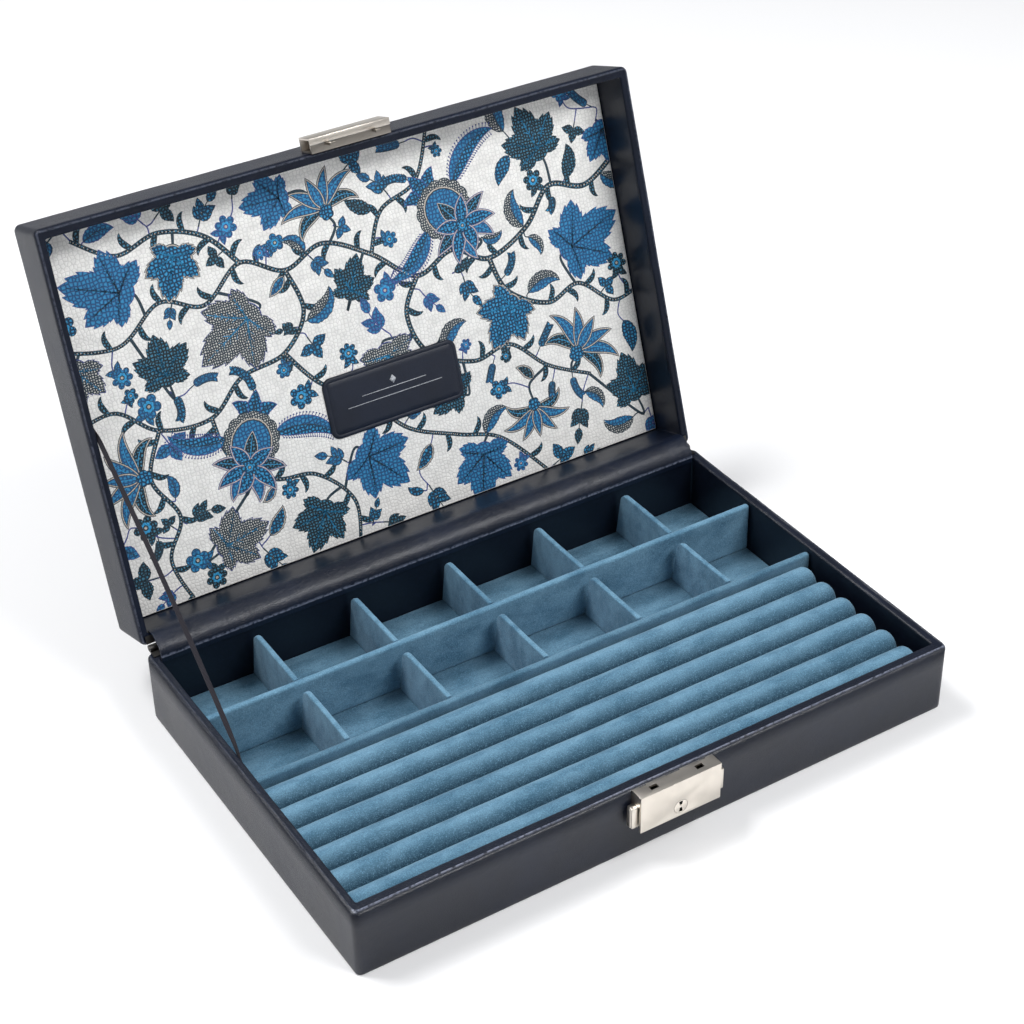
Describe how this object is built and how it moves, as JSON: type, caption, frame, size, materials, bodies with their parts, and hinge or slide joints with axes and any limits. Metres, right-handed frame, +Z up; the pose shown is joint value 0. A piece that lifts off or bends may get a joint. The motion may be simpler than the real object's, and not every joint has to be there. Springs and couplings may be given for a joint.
{
  "type": "jewelry gift box",
  "caption": "Shallow navy leather jewelry case with an open hinged lid, printed lid lining, velvet compartments, ring rolls, and a small push-button lock.",
  "frame": {"origin": "centre of the underside of the base, on the surface it stands on, halfway between its sides and halfway between front and back walls", "axes": "+X to the right seen from the front, +Y from the lock side towards the hinge, +Z up"},
  "size_m": [0.26, 0.2527, 0.1948],
  "materials": {
    "navy_leather": "satin fine-grained navy leather",
    "flap_leather": "coarse-grained satin navy leather",
    "label_leather": "smooth navy leather, no lettering",
    "dark_lining": "smooth semi-gloss near-black navy lining",
    "underside_cloth": "plain dark lining cloth",
    "printed_leather": null,
    "fibreboard": "raw fibreboard",
    "blue_velvet": "short-pile dusty blue velvet over card or foam",
    "foam": "soft foam",
    "ribbon": "dark grosgrain tape",
    "satin_nickel": "satin nickel plate",
    "steel": "plain nickel-plated steel"
  },
  "bodies": {
    "base": {"base_leather": "navy_leather", "base_underside_cover": "underside_cloth", "base_bottom_board": "fibreboard", "base_front_board": "fibreboard", "base_back_board": "fibreboard", "base_left_board": "fibreboard", "base_right_board": "fibreboard", "base_wall_lining": "dark_lining", "floor_pad": "blue_velvet", "mid_divider": "blue_velvet", "front_rail": "blue_velvet", "back_divider_1": "blue_velvet", "back_divider_2": "blue_velvet", "back_divider_3": "blue_velvet", "back_divider_4": "blue_velvet", "back_divider_5": "blue_velvet", "front_divider_1": "blue_velvet", "front_divider_2": "blue_velvet", "front_divider_3": "blue_velvet", "front_divider_4": "blue_velvet", "front_divider_5": "blue_velvet", "ring_bed": "foam", "ring_roll_1": "blue_velvet", "ring_roll_2": "blue_velvet", "ring_roll_3": "blue_velvet", "ring_roll_4": "blue_velvet", "ring_roll_5": "blue_velvet", "ring_roll_6": "blue_velvet", "hinge_leaf_base": "steel", "hinge_pin": "steel", "hinge_nails_base": "steel", "hinge_flap": "flap_leather", "stay_ribbon": "ribbon", "lock_case": "satin_nickel", "lock_back_plate": "steel", "lock_screws": "steel", "lock_spring_left": "steel", "lock_spring_right": "steel"},
    "lid": {"lid_leather": "navy_leather", "lid_front_board": "fibreboard", "lid_back_board": "fibreboard", "lid_left_board": "fibreboard", "lid_right_board": "fibreboard", "lid_top_board": "fibreboard", "lid_wall_lining": "dark_lining", "lid_lining_panel": "printed_leather", "label_patch": "label_leather", "lid_panel_board": "fibreboard", "lid_panel_foam": "foam", "lid_panel_leather": "navy_leather", "hinge_leaf_lid": "steel", "hinge_nails_lid": "steel", "striker_channel": "satin_nickel", "striker_hook_plate": "steel", "striker_screws": "steel"},
    "lock_cylinder": {"lock_cylinder": "satin_nickel"},
    "lock_button_left": {"lock_button_left": "satin_nickel"},
    "lock_button_right": {"lock_button_right": "satin_nickel"}
  },
  "joints": [
    {"name": "lid_hinge", "type": "hinge", "parent": "base", "child": "lid", "pos_m": [0, 0.0835, 0.03125], "axis": [1, 0, 0], "range_deg": [0, 108.5], "deforming": ["hinge_flap", "stay_ribbon"]},
    {"name": "key_turn", "type": "hinge", "parent": "base", "child": "lock_cylinder", "pos_m": [0, -0.0885, 0.0176], "axis": [0, 1, 0], "range_deg": [-90, 0]},
    {"name": "press_left", "type": "slide", "parent": "base", "child": "lock_button_left", "axis": [1, 0, 0], "range_m": [0, 0.0014], "stiffness_N_per_m": 600, "springref_m": -0.001, "deforming": ["lock_spring_left"]},
    {"name": "press_right", "type": "slide", "parent": "base", "child": "lock_button_right", "axis": [-1, 0, 0], "range_m": [0, 0.0014], "stiffness_N_per_m": 600, "springref_m": -0.001, "deforming": ["lock_spring_right"]}
  ]
}
